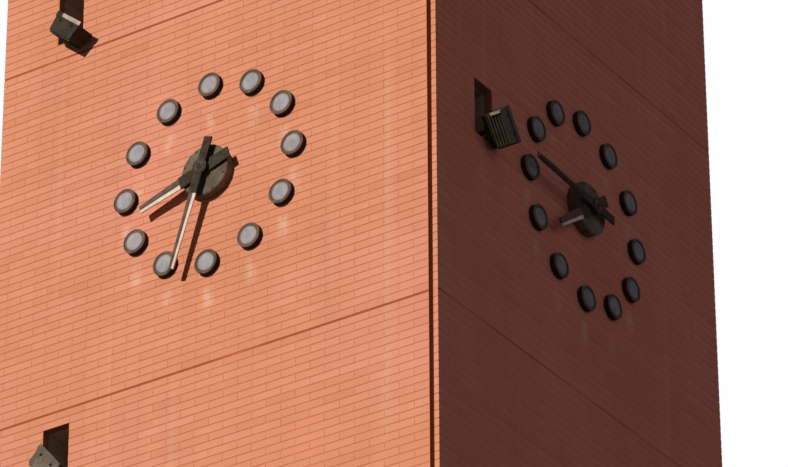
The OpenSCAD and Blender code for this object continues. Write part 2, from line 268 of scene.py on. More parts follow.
def turned_on_dial(piece, degrees):
    """Turns a piece drawn at twelve o'clock on the front dial to another hour angle."""
    centre = Matrix.Translation((0, WALL_PLANE, CLOCK_HEIGHT))
    turn = Matrix.Rotation(math.radians(degrees), 4, "Y")
    piece.matrix_world = centre @ turn @ centre.inverted()
    return settle(piece)


def repeated(piece, count, step):
    rows = piece.modifiers.new("rows", "ARRAY")
    rows.count = count
    rows.use_relative_offset = False
    rows.use_constant_offset = True
    rows.constant_offset_displace = step
    select_only(piece)
    bpy.ops.object.modifier_apply(modifier=rows.name)
    return piece


def bevelled(piece, width, segments=2, angle=40):
    edge = piece.modifiers.new("edge", "BEVEL")
    edge.width = width
    edge.segments = segments
    edge.limit_method = "ANGLE"
    edge.angle_limit = math.radians(angle)
    select_only(piece)
    bpy.ops.object.modifier_apply(modifier=edge.name)
    return piece


def smoothed(piece, angle):
    select_only(piece)
    bpy.ops.object.shade_smooth_by_angle(angle=math.radians(angle))
    return piece


def block(name, low, high):
    """A box between two corners, ready to be shaped."""
    low = Vector(low)
    high = Vector(high)
    clear_selection()
    bpy.ops.mesh.primitive_cube_add(size=1, location=(low + high) / 2, scale=high - low)
    piece = bpy.context.object
    piece.name = name
    return settle(piece)


def round_bar(name, radius, length, place, vertices=24, along="Y"):
    """A round bar centred on a place, ready to be shaped."""
    turn = {"X": (0, math.pi / 2, 0), "Y": (math.pi / 2, 0, 0), "Z": (0, 0, 0)}[along]
    clear_selection()
    bpy.ops.mesh.primitive_cylinder_add(vertices=vertices, radius=radius, depth=length,
                                        location=place, rotation=turn)
    piece = bpy.context.object
    piece.name = name
    return settle(piece)


def dome_head(name, radius, height, place, vertices=10):
    """A low round screw head whose foot is at a place on the front side, facing out of the wall."""
    x, y, z = place
    head = round_bar(name, radius, height, (x, y - height / 2, z), vertices)
    inset_faces(head, out_of_wall, (radius * 0.3, height * 0.35), (radius * 0.35, height * 0.1))
    return smoothed(head, 60)


def hex_head(name, radius, height, place):
    """A bolt head with six sides and its washer, facing out of the wall."""
    x, y, z = place
    thick = height * 0.25
    washer = round_bar(name + "_washer", radius * 1.25, thick, (x, y - thick / 2, z), 14)
    head = round_bar(name, radius, height, (x, y - height / 2, z), 6)
    inset_faces(head, out_of_wall, (radius * 0.16, height * 0.12))
    return joined([head, washer], name)


def dress(piece, body, material):
    piece.data.materials.clear()
    piece.data.materials.append(material)
    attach(piece, body)
    return piece


def colour(red, green, blue):
    """A colour given as screen values from 0 to 255."""
    def linear(value):
        value /= 255
        return value / 12.92 if value <= 0.04045 else ((value + 0.055) / 1.055) ** 2.4
    return (linear(red), linear(green), linear(blue), 1)


class Finish:
    """A material's node tree, built step by step on the piece's own coordinates."""

    def __init__(self, name, roughness=0.8, metallic=0.0, gloss=0.5):
        self.material = bpy.data.materials.new(name)
        self.material.use_nodes = True
        self.nodes = self.material.node_tree.nodes
        self.links = self.material.node_tree.links
        self.shader = self.nodes["Principled BSDF"]
        self.shader.inputs["Roughness"].default_value = roughness
        self.shader.inputs["Metallic"].default_value = metallic
        self.shader.inputs["Specular IOR Level"].default_value = gloss
        place = self.nodes.new("ShaderNodeTexCoord")
        self.place = place.outputs["Object"]
        parts = self.nodes.new("ShaderNodeSeparateXYZ")
        self.links.new(self.place, parts.inputs[0])
        self.x, self.y, self.z = parts.outputs
        wide = self.sum("ABSOLUTE", self.x)
        deep = self.sum("ABSOLUTE", self.y)
        self.out = self.sum("MAXIMUM", wide, deep)
        self.across = self.sum("MINIMUM", wide, deep)
        self.on_sides = self.sum("GREATER_THAN", wide, deep)

    def feed(self, socket, value):
        if isinstance(value, bpy.types.NodeSocket):
            self.links.new(value, socket)
        else:
            socket.default_value = value

    def sum(self, kind, first, second=0.0):
        node = self.nodes.new("ShaderNodeMath")
        node.operation = kind
        for socket, value in zip(node.inputs, (first, second)):
            self.feed(socket, value)
        return node.outputs[0]

    def between(self, value, low, high, start=0.0, end=1.0, way="SMOOTHSTEP"):
        node = self.nodes.new("ShaderNodeMapRange")
        node.interpolation_type = way
        for socket, given in zip(node.inputs, (value, low, high, start, end)):
            self.feed(socket, given)
        return node.outputs[0]

    def weighed(self, first, first_weight, second, second_weight):
        """The sum of two values, each times its weight."""
        first = self.sum("MULTIPLY", first, first_weight)
        return self.sum("ADD", first, self.sum("MULTIPLY", second, second_weight))

    def stretched(self, scale, shift=(0, 0, 0)):
        node = self.nodes.new("ShaderNodeMapping")
        self.links.new(self.place, node.inputs["Vector"])
        node.inputs["Location"].default_value = shift
        node.inputs["Scale"].default_value = scale
        return node.outputs[0]

    def noise(self, scale, detail=3.0, roughness=0.5, place=None):
        node = self.nodes.new("ShaderNodeTexNoise")
        self.links.new(place or self.place, node.inputs["Vector"])
        node.inputs["Scale"].default_value = scale
        node.inputs["Detail"].default_value = detail
        node.inputs["Roughness"].default_value = roughness
        return node.outputs["Fac"]

    def attribute(self, name):
        node = self.nodes.new("ShaderNodeAttribute")
        node.attribute_name = name
        return node.outputs["Fac"]

    def mixed(self, amount, first, second, way="MIX"):
        node = self.nodes.new("ShaderNodeMix")
        node.data_type = "RGBA"
        node.blend_type = way
        self.feed(node.inputs[0], amount)
        self.feed(node.inputs[6], first)
        self.feed(node.inputs[7], second)
        return node.outputs[2]

    def stops(self, value, *pairs):
        node = self.nodes.new("ShaderNodeValToRGB")
        self.feed(node.inputs[0], value)
        band = node.color_ramp
        while len(band.elements) < len(pairs):
            band.elements.new(0.5)
        for element, (position, tint) in zip(band.elements, pairs):
            element.position = position
            element.color = tint
        return node.outputs[0]

    def grained(self, tint, grain, low, high):
        """A colour made darker and paler by a noise, from low to high times its strength."""
        grey = self.stops(grain, (0.25, (low, low, low, 1)), (0.75, (high, high, high, 1)))
        return self.mixed(1.0, tint, grey, "MULTIPLY")

    def clouded(self, clouds, low, high, first, second):
        """From the first colour to the second as the noise goes from low to high."""
        return self.mixed(self.between(clouds, low, high), first, second)

    def bump(self, height, strength, distance):
        node = self.nodes.new("ShaderNodeBump")
        node.inputs["Strength"].default_value = strength
        node.inputs["Distance"].default_value = distance
        self.links.new(height, node.inputs["Height"])
        self.links.new(node.outputs[0], self.shader.inputs["Normal"])

    def show(self, tint, roughness=None):
        self.feed(self.shader.inputs["Base Color"], tint)
        if roughness is not None:
            self.feed(self.shader.inputs["Roughness"], roughness)
        return self.material


def under_marks(finish):
    """1 on the short pale smears that rain leaves under every hour mark, and 0 elsewhere."""
    smears = 0.0
    for hour in range(7):
        turn = math.radians(30 * hour)
        aside = finish.sum("SUBTRACT", finish.across, MARK_RING * math.sin(turn))
        aside = finish.sum("ABSOLUTE", aside)
        below = finish.sum("SUBTRACT", CLOCK_HEIGHT + MARK_RING * math.cos(turn), finish.z)
        narrow = finish.between(aside, 0.010, 0.070, 1.0, 0.0)
        starts = finish.between(below, 0.14, 0.24)
        run = finish.sum("MULTIPLY", starts, finish.between(below, 0.28, 0.42, 1.0, 0.0))
        smears = finish.sum("MAXIMUM", smears, finish.sum("MULTIPLY", narrow, run))
    return finish.sum("MULTIPLY", smears, finish.between(finish.noise(6.0, 4.0, 0.6), 0.3, 0.6))


def weathered(finish, tint):
    """The wall's broad patches, from orange to pink, and its faint pale runs of rain."""
    patches = finish.noise(0.9, 2.0)
    tint = finish.mixed(finish.between(patches, 0.35, 0.5, 0.30, 0.0), tint, colour(222, 142, 96))
    tint = finish.mixed(finish.between(patches, 0.5, 0.68, 0.0, 0.35), tint, colour(236, 152, 128))
    runs = finish.noise(1.0, 3.0, 0.55, finish.stretched((5.5, 5.5, 0.22)))
    tint = finish.mixed(finish.between(runs, 0.56, 0.78, 0.0, 0.20), tint, colour(236, 190, 162))
    tint = finish.mixed(finish.sum("MULTIPLY", under_marks(finish), 0.4), tint, colour(240, 206, 176))
    grime = finish.noise(1.0, 4.0, 0.6, finish.stretched((3.0, 3.0, 0.5), (7, 3, 1)))
    return finish.grained(tint, grime, 0.94, 1.05)


def facing_brick():
    finish = Finish("facing_brick", roughness=0.9, gloss=0.08)
    tint = finish.stops(finish.attribute("tone"),
                        (0.0, colour(216, 136, 101)), (0.2, colour(222, 143, 107)),
                        (0.6, colour(226, 147, 112)), (0.88, colour(229, 151, 117)),
                        (1.0, colour(220, 139, 108)))
    tint = weathered(finish, tint)
    grain = finish.noise(150.0, 4.0, 0.65)
    tint = finish.grained(tint, grain, 0.93, 1.05)
    finish.bump(grain, 0.35, 0.0008)
    return finish.show(tint)


# Greyish brickwork inside the walls, made pale as painted light that stands in for light reaching into
# the slots.
def lightened_inner_brickwork(finish):
    inside = finish.nodes.new("ShaderNodeTexBrick")
    flat = finish.nodes.new("ShaderNodeCombineXYZ")
    finish.links.new(finish.sum("ADD", finish.x, finish.y), flat.inputs[0])
    finish.links.new(finish.z, flat.inputs[1])
    finish.links.new(flat.outputs[0], inside.inputs["Vector"])
    inside.inputs["Color1"].default_value = colour(222, 194, 170)
    inside.inputs["Color2"].default_value = colour(206, 176, 150)
    inside.inputs["Mortar"].default_value = colour(190, 168, 146)
    inside.inputs["Scale"].default_value = 1.0
    inside.inputs["Mortar Size"].default_value = 0.005
    inside.inputs["Brick Width"].default_value = 2 * HALF_BRICK
    inside.inputs["Row Height"].default_value = COURSE_STEP
    return inside.outputs["Color"]


def wall_body():
    """Mortar on the outside, paler on the side faces as painted light; bare brick in joints, grooves
    and reveals; and pale brickwork inside, whose paleness is painted light reaching into the slots.
    """
    finish = Finish("wall_body", roughness=0.92, gloss=0.08)
    depth = finish.sum("SUBTRACT", TOWER_HALF, finish.out)
    grain = finish.noise(220.0, 3.0, 0.6)
    # Painted light: on the side faces the mortar is paler, to offset the shade in their joints.
    mortar = finish.mixed(finish.on_sides, colour(210, 134, 100), colour(234, 160, 126))
    mortar = finish.grained(weathered(finish, mortar), grain, 0.9, 1.06)
    recess = finish.mixed(finish.noise(14.0), colour(186, 124, 92), colour(170, 112, 82))
    tint = finish.mixed(finish.sum("GREATER_THAN", depth, RECESS_FROM), mortar, recess)
    deep = finish.sum("GREATER_THAN", depth, INSIDE_FROM)
    tint = finish.mixed(deep, tint, lightened_inner_brickwork(finish))
    finish.bump(grain, 0.4, 0.001)
    return finish.show(tint)


def joint_sealant():
    """Orange-brown sealant, a little dusty, darker than the bricks, and paler on the side faces as
    painted light that offsets the shade in their joints.
    """
    finish = Finish("joint_sealant", roughness=0.85, gloss=0.05)
    clouds = finish.noise(1.6, 3.0, 0.6)
    tint = finish.clouded(clouds, 0.5, 0.75, colour(172, 88, 56), colour(196, 112, 78))
    aside = finish.clouded(clouds, 0.4, 0.65, colour(190, 106, 76), colour(216, 138, 104))
    # Painted light: the sealant on the side faces is paler.
    tint = finish.mixed(finish.on_sides, tint, aside)
    dust = finish.noise(60.0, 3.0, 0.6)
    return finish.show(finish.grained(tint, dust, 0.92, 1.05))


def cast_concrete(name, pale, dark):
    finish = Finish(name, roughness=0.85, gloss=0.2)
    clouds = finish.noise(2.2, 5.0, 0.6)
    grain = finish.noise(90.0, 4.0, 0.6)
    tint = finish.clouded(clouds, 0.35, 0.65, pale, dark)
    return finish, tint, grain


def floor_concrete():
    finish, tint, grain = cast_concrete("floor_concrete", colour(172, 167, 157), colour(146, 140, 130))
    tint = finish.grained(tint, grain, 0.9, 1.06)
    finish.bump(grain, 0.3, 0.001)
    return finish.show(tint)


def coping_stone():
    """Cast stones set end to end and mitred at the corners, with mortar between them."""
    finish, tint, grain = cast_concrete("coping_stone", colour(186, 176, 160), colour(160, 149, 133))
    across = finish.sum("ABSOLUTE", finish.x)
    along = finish.sum("ABSOLUTE", finish.y)
    run = finish.sum("MINIMUM", across, along)
    joint = finish.sum("LESS_THAN", finish.sum("PINGPONG", run, COPING_STONE / 2), 0.004)
    aside = finish.sum("ABSOLUTE", finish.sum("SUBTRACT", across, along))
    mitre = finish.sum("LESS_THAN", aside, 0.005)
    lines = finish.sum("MAXIMUM", joint, mitre)
    tint = finish.grained(tint, grain, 0.9, 1.06)
    tint = finish.mixed(lines, tint, colour(104, 94, 84))
    finish.bump(grain, 0.35, 0.0012)
    return finish.show(tint)


def roof_felt():
    """Grey roofing sheet in laid widths, with a darker seam every metre."""
    finish = Finish("roof_felt", roughness=0.9)
    seam = finish.sum("PINGPONG", finish.sum("ADD", finish.x, 0.5), 0.5)
    seam = finish.sum("LESS_THAN", seam, 0.012)
    grit = finish.noise(260.0, 2.0, 0.7)
    clouds = finish.noise(1.6, 4.0)
    tint = finish.clouded(clouds, 0.3, 0.7, colour(120, 118, 114), colour(98, 95, 90))
    tint = finish.grained(tint, grit, 0.8, 1.15)
    tint = finish.mixed(seam, tint, colour(62, 58, 54))
    finish.bump(grit, 0.5, 0.001)
    return finish.show(tint)


def worn_metal(name, pale, dark, patch=None, *, roughness, metallic, scale, gloss=0.25):
    """Painted or weathered sheet metal: clouds of two tones, and a little of a third."""
    finish = Finish(name, roughness=roughness, metallic=metallic, gloss=gloss)
    clouds = finish.noise(scale, 4.0, 0.6)
    tint = finish.clouded(clouds, 0.38, 0.62, pale, dark)
    if patch:
        shifted = finish.stretched((1, 1, 1), (3, 5, 2))
        spots = finish.noise(scale * 1.7, 3.0, 0.55, shifted)
        tint = finish.mixed(finish.between(spots, 0.52, 0.66, 0.0, 0.6), tint, patch)
    fine = finish.noise(scale * 14, 3.0, 0.6)
    tint = finish.grained(tint, fine, 0.92, 1.06)
    finish.bump(fine, 0.12, 0.0006)
    return finish.show(tint, finish.between(clouds, 0.3, 0.7, roughness - 0.07, roughness + 0.1))


def hand_metal(name, kind, turns, degrees, in_painted_shade):
    """One hand: a dark carrier about the axis, then a ridged blade with a dark side and a pale side,
    whose paleness is a painted highlight.
    """
    finish = Finish(name, roughness=0.8, gloss=0.03)
    side = math.radians(90 * turns)
    lean = math.radians(degrees)
    across = finish.weighed(finish.x, math.cos(side), finish.y, math.sin(side))
    up = finish.sum("SUBTRACT", finish.z, CLOCK_HEIGHT)
    reach = finish.weighed(across, math.sin(lean), up, math.cos(lean))
    aside = finish.weighed(across, math.cos(lean), up, -math.sin(lean))
    clouds = finish.between(finish.noise(16.0, 4.0, 0.6), 0.35, 0.65)
    carrier = finish.mixed(clouds, colour(78, 66, 54), colour(62, 52, 42))
    # Painted shade: a darker tone on both sides of the blade, and no painted highlight.
    if in_painted_shade:
        dark = pale = finish.mixed(clouds, colour(88, 66, 56), colour(74, 56, 46))
    else:
        dark = finish.mixed(clouds, colour(112, 94, 80), colour(94, 78, 66))
        # Painted highlight: the pale tint stands in for the glint of light on one facet of the blade.
        pale = finish.mixed(clouds, colour(250, 228, 208), colour(236, 210, 186))
    root, tip, length = BLADES[kind]
    half = finish.between(reach, BLADE_START, length, root / 2, tip / 2, "LINEAR")
    # bare is 1 on the side of the blade where the highlight is painted.
    bare = finish.sum("LESS_THAN", finish.sum("DIVIDE", aside, half), -RIDGE_SHARE)
    blade = finish.mixed(bare, dark, pale)
    tint = finish.mixed(finish.sum("GREATER_THAN", reach, BLADE_START), carrier, blade)
    fine = finish.noise(240.0, 2.0, 0.6)
    tint = finish.grained(tint, fine, 0.93, 1.05)
    finish.bump(fine, 0.08, 0.0004)
    return finish.show(tint)


def drum_metal():
    """An hour mark's drum: brown sheet metal on its rim, and nearly black down its side, which is
    painted shade.
    """
    finish = Finish("drum_metal", roughness=0.75, gloss=0.05)
    clouds = finish.noise(16.0, 4.0, 0.6)
    rim = finish.clouded(clouds, 0.35, 0.65, colour(126, 102, 86), colour(98, 78, 64))
    side = finish.clouded(clouds, 0.35, 0.65, colour(56, 44, 36), colour(42, 32, 26))
    front = TOWER_HALF + MARK_FRONT
    # Painted shade: all of the drum but its front rim is nearly black.
    tint = finish.mixed(finish.between(finish.out, front - 0.010, front - 0.003), side, rim)
    return finish.show(tint)


def mark_face():
    """The face of an hour mark: blue-grey and a little clouded, with painted shade towards its rim and
    on the side faces, in a ring of brown sheet metal.
    """
    finish = Finish("mark_face", roughness=0.8, gloss=0.03)
    clouds = finish.noise(11.0, 4.0, 0.6)
    tint = finish.clouded(clouds, 0.35, 0.65, colour(178, 170, 168), colour(160, 152, 151))
    edge = finish.attribute("edge")
    dirt = finish.noise(1.0, 3.0, 0.6, finish.stretched((26, 26, 6)))
    tint = finish.mixed(finish.between(dirt, 0.5, 0.75, 0.0, 0.35), tint, colour(116, 104, 96))
    tint = finish.mixed(finish.between(edge, 0.2, 0.55, 0.4, 0.0), tint, colour(148, 150, 152))
    # Painted shade: the face darkens towards its rim, as if shaded by the ring round it.
    tint = finish.mixed(finish.between(edge, 0.6, 0.82, 0.0, 0.3), tint, colour(134, 118, 110))
    ring = finish.clouded(clouds, 0.35, 0.65, colour(126, 102, 86), colour(100, 80, 66))
    tint = finish.mixed(finish.between(edge, 0.82, 0.85), tint, ring)
    # Painted shade: on the left and right faces the mark's face is darker and greener.
    tint = finish.mixed(finish.on_sides, tint, colour(218, 239, 229), "MULTIPLY")
    return finish.show(tint)


def lamp_metal():
    """Dark painted metal, dusty, and paler on the lower lamps."""
    finish = Finish("lamp_metal", roughness=0.7, gloss=0.08)
    clouds = finish.between(finish.noise(12.0, 4.0, 0.6), 0.38, 0.62)
    upper_lamp_tone = finish.mixed(clouds, colour(66, 56, 43), colour(47, 40, 31))
    lower_lamp_tone = finish.mixed(clouds, colour(122, 107, 90), colour(98, 85, 70))
    upper = finish.between(finish.z, FRONT_SLOTS[3] + 0.5, FRONT_SLOTS[3] + 1.0)
    tint = finish.mixed(upper, lower_lamp_tone, upper_lamp_tone)
    fine = finish.noise(170.0, 3.0, 0.6)
    tint = finish.grained(tint, fine, 0.92, 1.06)
    finish.bump(fine, 0.12, 0.0006)
    return finish.show(tint)


def lamp_glass():
    finish = Finish("lamp_glass", roughness=0.2, gloss=0.4)
    ribs = finish.nodes.new("ShaderNodeTexWave")
    finish.links.new(finish.place, ribs.inputs["Vector"])
    ribs.inputs["Scale"].default_value = 60.0
    ribs.inputs["Distortion"].default_value = 0.2
    dust = finish.noise(24.0, 4.0, 0.6)
    dusty = finish.between(dust, 0.4, 0.7, 0.0, 0.5)
    tint = finish.mixed(dusty, colour(34, 36, 32), colour(92, 86, 74))
    finish.bump(ribs.outputs["Fac"], 0.3, 0.001)
    return finish.show(tint)


def door_paint():
    """Dark painted steel: the lever handle shows as bare metal, since it stands well off the leaf."""
    finish = Finish("door_paint", roughness=0.5, metallic=0.1)
    clouds = finish.noise(6.0, 4.0, 0.6)
    paint = finish.clouded(clouds, 0.35, 0.65, colour(96, 84, 76), colour(84, 73, 66))
    lever = finish.sum("GREATER_THAN", finish.y, TOWER_HALF - DOOR_SET + 0.0075)
    tint = finish.mixed(lever, paint, colour(170, 166, 160))
    drips = finish.noise(1.0, 3.0, 0.6, finish.stretched((22, 22, 1.2)))
    tint = finish.mixed(finish.between(drips, 0.58, 0.8, 0.0, 0.3), tint, colour(130, 112, 98))
    return finish.show(tint)


BRICK = facing_brick()
WALL = wall_body()
CONCRETE = floor_concrete()
COPING = coping_stone()
ROOF = roof_felt()
SEALANT = joint_sealant()
DRUM = drum_metal()
HUB = worn_metal("hub_metal", colour(122, 106, 87), colour(94, 82, 67), colour(100, 112, 84),
                 roughness=0.8, metallic=0.0, scale=7, gloss=0.05)
LAMP = lamp_metal()
BRIGHT = worn_metal("bare_aluminium", colour(184, 158, 138), colour(156, 134, 118),
                    colour(116, 98, 84), roughness=0.55, metallic=0.2, scale=18)
CLIP = worn_metal("black_clips", colour(44, 40, 36), colour(32, 30, 28),
                  roughness=0.8, metallic=0.0, scale=40, gloss=0.05)
FIXING = worn_metal("fixings", colour(104, 92, 80), colour(78, 66, 56), colour(98, 70, 48),
                    roughness=0.7, metallic=0.0, scale=60, gloss=0.1)
FACE = mark_face()
GLASS = lamp_glass()
DOOR = door_paint()


def lay_brick(left, length, foot, plane, facing):
    """A brick that stands a little proud of its wall, with its outer face drawn in."""
    back = plane - facing * BRICK_SUNK
    front = plane + facing * BRICK_PROUD
    head = foot + BRICK_HEIGHT
    brick = block("brick", (left, min(back, front), foot), (left + length, max(back, front), head))
    edit_faces(brick, lambda face: face.normal.y * facing > 0.5)
    centre = (left + length / 2, front, foot + BRICK_HEIGHT / 2)
    size = (1 - BRICK_TAPER / length, 1, 1 - BRICK_TAPER / BRICK_HEIGHT)
    bpy.ops.transform.resize(value=size, center_override=centre)
    close_edit()
    return brick


def course_pair(left, right, foot, plane, facing):
    """Two courses in stretcher bond, the upper one shifted by half a brick, with halves at the ends."""
    halves = round((right - left) / HALF_BRICK)
    step = 2 * (right - left + HEAD_JOINT) / halves
    upper = foot + COURSE_STEP
    whole = step - HEAD_JOINT
    half = step / 2 - HEAD_JOINT
    lower_row = lay_brick(left, whole, foot, plane, facing)
    lower_row = repeated(lower_row, halves // 2, (step, 0, 0))
    upper_row = lay_brick(left + step / 2, whole, upper, plane, facing)
    upper_row = repeated(upper_row, (halves - 1) // 2, (step, 0, 0))
    first_half = lay_brick(left, half, upper, plane, facing)
    last_half = lay_brick(right - half, half, foot if halves % 2 else upper, plane, facing)
    return joined([lower_row, upper_row, first_half, last_half], "course_pair")


def tone_bricks(piece, seed):
    """Gives every brick a tone, which is partly its course's and partly its own."""
    mesh = piece.data
    centres = np.empty(len(mesh.polygons) * 3)
    mesh.polygons.foreach_get("center", centres)
    x, y, z = centres.reshape(-1, 3).T
    storey = np.floor(z / STOREY)
    course = np.floor((z - storey * STOREY - BED_JOINT / 2) / COURSE_STEP)
    column = np.floor((x - x.min()) / (2 * HALF_BRICK) + 0.5 * (course % 2))
    row = (course + COURSES * storey).astype(int)
    number = (column + NUMBERS_A_COURSE * row).astype(int)
    tones = np.random.default_rng(seed).random(TONES)
    shares = COURSE_SHARE * tones[row % TONES] + (1 - COURSE_SHARE) * tones[number % TONES]
    attribute = mesh.attributes.new("tone", "FLOAT", "FACE")
    attribute.data.foreach_set("value", shares.astype(np.float32))


def dress_each_face(source, kind, material, sides=range(4), seed=None):
    """Puts a dressed copy of a piece drawn on the front on each given face, and removes the piece."""
    for turns in sides:
        piece = copy_of(source, f"{FACES[turns]}_{kind}")
        if seed is not None:
            tone_bricks(piece, seed + turns)
        dress(turned_to_face(piece, turns), "tower", material)
    bpy.data.objects.remove(source)


def cut_openings(panel, boxes):
    """Cuts the bricks back to the edges of the openings."""
    cutters = [block("cutter", low, high) for low, high in boxes]
    cutter = joined(cutters, "cutter")
    opening = panel.modifiers.new("opening", "BOOLEAN")
    opening.operation = "DIFFERENCE"
    opening.solver = "MANIFOLD"
    opening.object = cutter
    select_only(panel)
    bpy.ops.object.modifier_apply(modifier=opening.name)
    bpy.data.objects.remove(cutter)


def cutter_box(middle, half, foot, head):
    """The two corners of a cutter that goes through the facing."""
    low = (middle - half, WALL_PLANE - CUT_REACH, foot)
    return (low, (middle + half, WALL_PLANE + CUT_REACH, head))


def slot_box(height):
    rise = SLOT_HEIGHT / 2 + CUT_GAP
    return cutter_box(SLOT_ACROSS, SLOT_WIDTH / 2 + CUT_GAP, height - rise, height + rise)


def lay_facing():
    """Brick panels for every face and lift, cut round the slots and the service door."""
    lintel_top = DOOR_HEAD + LINTEL_HEIGHT
    door = cutter_box(0, DOOR_HALF + CUT_GAP, DOOR_FOOT - CUT_GAP, DOOR_HEAD + CUT_REACH)
    lintel = cutter_box(0, LINTEL_HALF + CUT_GAP, DOOR_HEAD - CUT_GAP, lintel_top + CUT_GAP)
    for first, heights in ((0, FRONT_SLOTS), (1, SIDE_SLOTS)):
        left, right = PANEL_ENDS[first]
        pair = course_pair(left, right, LEVEL_GAP / 2, WALL_PLANE, -1)
        parapet = repeated(copy_of(pair, "parapet"), PARAPET_COURSES // 2, TWO_COURSES)
        parapet = raised(parapet, STOREYS)
        storey = repeated(pair, COURSES // 2, TWO_COURSES)
        top = repeated(copy_of(storey, "top"), STOREYS - 2 * LIFT_STOREYS, (0, 0, STOREY))
        top = joined([raised(top, 2 * LIFT_STOREYS), parapet], "top")
        low = repeated(storey, LIFT_STOREYS, (0, 0, STOREY))
        mid = raised(copy_of(low, "mid"), LIFT_STOREYS)
        for number, (lift, panel) in enumerate((("low", low), ("mid", mid), ("top", top))):
            foot = number * LIFT_STOREYS * STOREY
            head = foot + LIFT_STOREYS * STOREY
            cut_openings(panel, [slot_box(height) for height in heights if foot < height < head])
            for turns in (first, first + 2):
                name = f"{FACES[turns]}_bricks_{lift}"
                facing = copy_of(panel, name)
                if name == "back_bricks_low":
                    cut_openings(facing, [door])
                    cut_openings(facing, [lintel])
                tone_bricks(facing, FACING_SEED + turns)
                dress(turned_to_face(facing, turns), "tower", BRICK)
            bpy.data.objects.remove(panel)


def lay_corner_strips():
    """The narrow strip of cut bricks between each upright groove and its corner."""
    foot = LEVEL_GAP / 2
    left = TOWER_HALF - STRIP_WIDTH
    edge = TOWER_HALF + BRICK_PROUD
    back = BRICK_SUNK - TOWER_HALF
    pad_half = foot - 0.001
    brick = block("strip_brick", (left, -edge, foot), (edge, back, foot + BRICK_HEIGHT))
    bevelled(brick, 0.001, 1)
    parapet = repeated(copy_of(brick, "parapet"), PARAPET_COURSES, (0, 0, COURSE_STEP))
    parapet = raised(parapet, STOREYS)
    strip = repeated(repeated(brick, COURSES, (0, 0, COURSE_STEP)), STOREYS, (0, 0, STOREY))
    strip = joined([strip, parapet], "strip")
    pad = block("strip_pad", (left, -edge, -pad_half), (edge, back, pad_half))
    pads = raised(repeated(pad, STOREYS, (0, 0, STOREY)), 1)
    strip = joined([strip, pads], "strip")
    for turns, corner in ((0, "front_right"), (2, "back_left")):
        piece = copy_of(strip, f"{corner}_strip_bricks")
        tone_bricks(piece, STRIP_SEED + turns)
        dress(turned_to_face(piece, turns), "tower", BRICK)
    bpy.data.objects.remove(strip)


def run_sealant():
    """A soft bead in every level joint, hollow along its middle, just behind the face of the bricks."""
    edge = TOWER_HALF + 0.0005
    inner = TOWER_HALF - 0.0190
    half = 0.0078
    for first, left, right in ((0, -edge, PANEL_ENDS[0][1]), (1, -inner, inner)):
        bead = block("bead", (left, -edge, -half), (right, -inner, half))
        inset_faces(bead, out_of_wall, (0.0026, 0.0), (0.0024, -0.0016))
        smoothed(bead, 60)
        beads = raised(repeated(bead, STOREYS, (0, 0, STOREY)), 1)
        dress_each_face(beads, "level_sealant", SEALANT, (first, first + 2))


def lay_parapet_lining():
    """The inner side of the parapet, in the same bricks."""
    half = TOWER_HALF - WALL_THICKNESS - BRICK_PROUD - 0.002
    foot = STOREYS * STOREY + LEVEL_GAP / 2
    pair = course_pair(-half, half, foot, WALL_PLANE + WALL_THICKNESS, 1)
    lining = repeated(pair, PARAPET_COURSES // 2, TWO_COURSES)
    dress_each_face(lining, "parapet_lining", BRICK, seed=LINING_SEED)


def on_circle(radius, degrees, plane, height):
    """A place on an upright circle round a middle at a height, by its angle from the circle's top."""
    turn = math.radians(degrees)
    return (radius * math.sin(turn), plane, height + radius * math.cos(turn))


def tone_edge(face, height):
    """Stores how far out on a mark's face each corner lies, from 0 at its middle to 1 at its rim."""
    points = [point.co for point in face.data.vertices]
    reach = [math.hypot(point.x, point.z - height) / FACE_RADIUS for point in points]
    attribute = face.data.attributes.new("edge", "FLOAT", "POINT")
    attribute.data.foreach_set("value", reach)


def make_mark_faces():
    """Slightly domed faces set in the drums, each in a broad ring, and three screws on each rim."""
    at = CLOCK_HEIGHT + MARK_RING
    middle = (0, WALL_PLANE - MARK_SUNK_FACE - 0.0075, at)
    face = round_bar("mark_face", FACE_RADIUS, 0.017, middle, 40)
    inset_faces(face, out_of_wall, (0.0020, 0.0010), (0.0095, 0.0), (0.0025, -0.0030),
                (0.0200, 0.0018), (0.0220, 0.0008))
    smoothed(face, 30)
    tone_edge(face, at)
    screws = []
    for degrees in (60, 180, 300):
        place = on_circle(RIM_SCREW_RING, degrees, WALL_PLANE - MARK_FRONT + SEAT, at)
        screws.append(dome_head("rim_screw", 0.0034, 0.0024, place, 8))
    screws = joined(screws, "rim_screws")
    for source, kind, material in ((face, "mark_faces", FACE), (screws, "mark_screws", FIXING)):
        ring = [turned_on_dial(copy_of(source, "copy"), 30 * hour) for hour in range(12)]
        dress_each_face(joined(ring, "ring"), kind, material)
        bpy.data.objects.remove(source)


def make_hub_fittings():
    """A flange round the bearing boss with six bolts, and eight bolts near the plate's edge."""
    middle = (0, WALL_PLANE - HUB_FRONT + 0.001, CLOCK_HEIGHT)
    flange = round_bar("flange", 0.090, 0.006, middle, 48)
    inset_faces(flange, out_of_wall, (0.004, 0.0012))
    smoothed(flange, 30)
    bolts = []
    for count, ring, size, front, height in HUB_BOLTS:
        for number in range(count):
            degrees = 360 * (number + 0.5) / count
            place = on_circle(ring, degrees, WALL_PLANE - front, CLOCK_HEIGHT)
            bolts.append(hex_head("bolt", size, height, place))
    bolts = joined(bolts, "bolts")
    for source, kind, material in ((flange, "hub_flange", HUB), (bolts, "hub_bolts", FIXING)):
        dress_each_face(source, kind, material)


def boss_ring(name, radius, length, kind, before, vertices=32):
    """A nut, washer or collar about a hand's axis, its middle a little before the boss's front."""
    place = (0, WALL_PLANE - BOSS_FRONT[kind] - before, CLOCK_HEIGHT)
    return round_bar(name, radius, length, place, vertices)


